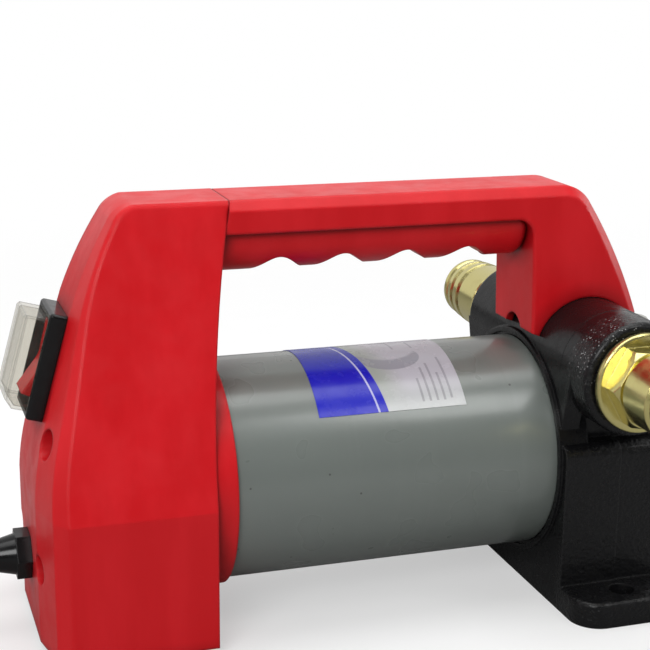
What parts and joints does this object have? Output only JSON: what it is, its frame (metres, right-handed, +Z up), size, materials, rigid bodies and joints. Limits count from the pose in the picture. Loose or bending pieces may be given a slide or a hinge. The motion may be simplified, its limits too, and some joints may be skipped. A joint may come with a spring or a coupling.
{
  "type": "fluid transfer pump",
  "caption": "Portable electric fluid transfer pump: horizontal motor, cast vane pump with two hose tails, bridge handle and capped rocker switch.",
  "frame": {"origin": "on the floor at the centre of the foot's two bolt holes, straight below the axis of the hose ports", "axes": "+Z up, +X along the motor axis from the switch end to the pump end, +Y from the suction hose tail to the delivery hose tail"},
  "size_m": [0.2945, 0.1876, 0.145],
  "materials": {
    "red_plastic": "satin moulded red",
    "grey_paint": "gloss grey enamel",
    "black_iron": "gloss black paint over rough casting",
    "brass": "bright turned brass",
    "zinc_steel": "zinc plated",
    "ground_steel": "ground",
    "chrome_steel": "polished bearing steel",
    "laminated_steel": "stacked laminations",
    "copper": "enamelled copper wire",
    "ferrite": "matt sintered ferrite",
    "carbon": "carbon brush",
    "die_cast": "die cast",
    "sinter_iron": "machined iron",
    "black_rubber": "matt",
    "black_plastic": "fine texture",
    "clear_cap": "clear soft PVC",
    "red_lens": "translucent red",
    "printed_film": "printed vinyl sheet",
    "acetal": "moulded acetal",
    "red_lead": "PVC insulation",
    "black_lead": "PVC insulation"
  },
  "bodies": {
    "pump_frame": {"pump_body": "black_iron", "front_cover": "black_iron", "cover_seal": "black_rubber", "cover_screws": "zinc_steel", "shaft_seal": "black_rubber", "bypass_spring": "zinc_steel", "bypass_cap": "zinc_steel", "bypass_seal": "copper", "inlet_fitting": "brass", "outlet_fitting": "brass", "inlet_seal": "black_rubber", "outlet_seal": "black_rubber", "inlet_strainer": "zinc_steel", "motor_tube": "grey_paint", "magnets": "ferrite", "front_bearing_outer": "chrome_steel", "rear_bearing_outer": "chrome_steel", "wave_washer": "zinc_steel", "rear_end_bell": "die_cast", "tie_rods": "zinc_steel", "brush_holder": "black_plastic", "brush_spring_near": "zinc_steel", "brush_spring_far": "zinc_steel", "label": "printed_film", "rear_cover": "red_plastic", "cover_collar": "red_plastic", "rear_screws": "zinc_steel", "rubber_feet": "black_rubber", "switch_housing": "black_plastic", "switch_terminals": "brass", "switch_boot": "clear_cap", "cable_gland": "black_plastic", "gland_nut": "black_plastic", "power_cable": "black_rubber", "lead_red": "red_lead", "lead_black": "black_lead", "handle_shell": "red_plastic", "finger_grip": "red_plastic", "handle_screws": "zinc_steel"},
    "armature": {"motor_shaft": "ground_steel", "armature_core": "laminated_steel", "armature_windings": "copper", "commutator": "copper", "front_bearing_inner": "chrome_steel", "rear_bearing_inner": "chrome_steel", "rotor": "sinter_iron", "rotor_key": "ground_steel", "vanes": "acetal"},
    "front_ball_set": {"front_bearing_balls": "chrome_steel", "front_bearing_cage": "acetal"},
    "rear_ball_set": {"rear_bearing_balls": "chrome_steel", "rear_bearing_cage": "acetal"},
    "switch_rocker": {"rocker": "red_lens"},
    "bypass_valve": {"bypass_poppet": "brass"},
    "near_brush": {"brush_near": "carbon"},
    "far_brush": {"brush_far": "carbon"}
  },
  "joints": [
    {"name": "armature_spin", "type": "hinge", "parent": "pump_frame", "child": "armature", "pos_m": [0, 0, 0.05], "axis": [1, 0, 0], "continuous": true},
    {"name": "front_balls_orbit", "type": "hinge", "parent": "pump_frame", "child": "front_ball_set", "pos_m": [-0.022, 0, 0.05], "axis": [1, 0, 0], "continuous": true},
    {"name": "rear_balls_orbit", "type": "hinge", "parent": "pump_frame", "child": "rear_ball_set", "pos_m": [-0.158, 0, 0.05], "axis": [1, 0, 0], "continuous": true},
    {"name": "rocker_tilt", "type": "hinge", "parent": "pump_frame", "child": "switch_rocker", "pos_m": [-0.18768, 0, 0.0924], "axis": [0, -1, 0], "range_deg": [0, 20]},
    {"name": "bypass_lift", "type": "slide", "parent": "pump_frame", "child": "bypass_valve", "axis": [1, 0, 0], "range_m": [0, 0.0035], "deforming": ["bypass_spring"]},
    {"name": "near_brush_slide", "type": "slide", "parent": "pump_frame", "child": "near_brush", "axis": [0, -1, 0], "range_m": [0, 0.003], "deforming": ["brush_spring_near"]},
    {"name": "far_brush_slide", "type": "slide", "parent": "pump_frame", "child": "far_brush", "axis": [0, 1, 0], "range_m": [0, 0.003], "deforming": ["brush_spring_far"]}
  ],
  "couplings": [
    {"joint": "front_balls_orbit", "follows": "armature_spin", "ratio": 0.3791},
    {"joint": "rear_balls_orbit", "follows": "armature_spin", "ratio": 0.3791}
  ]
}
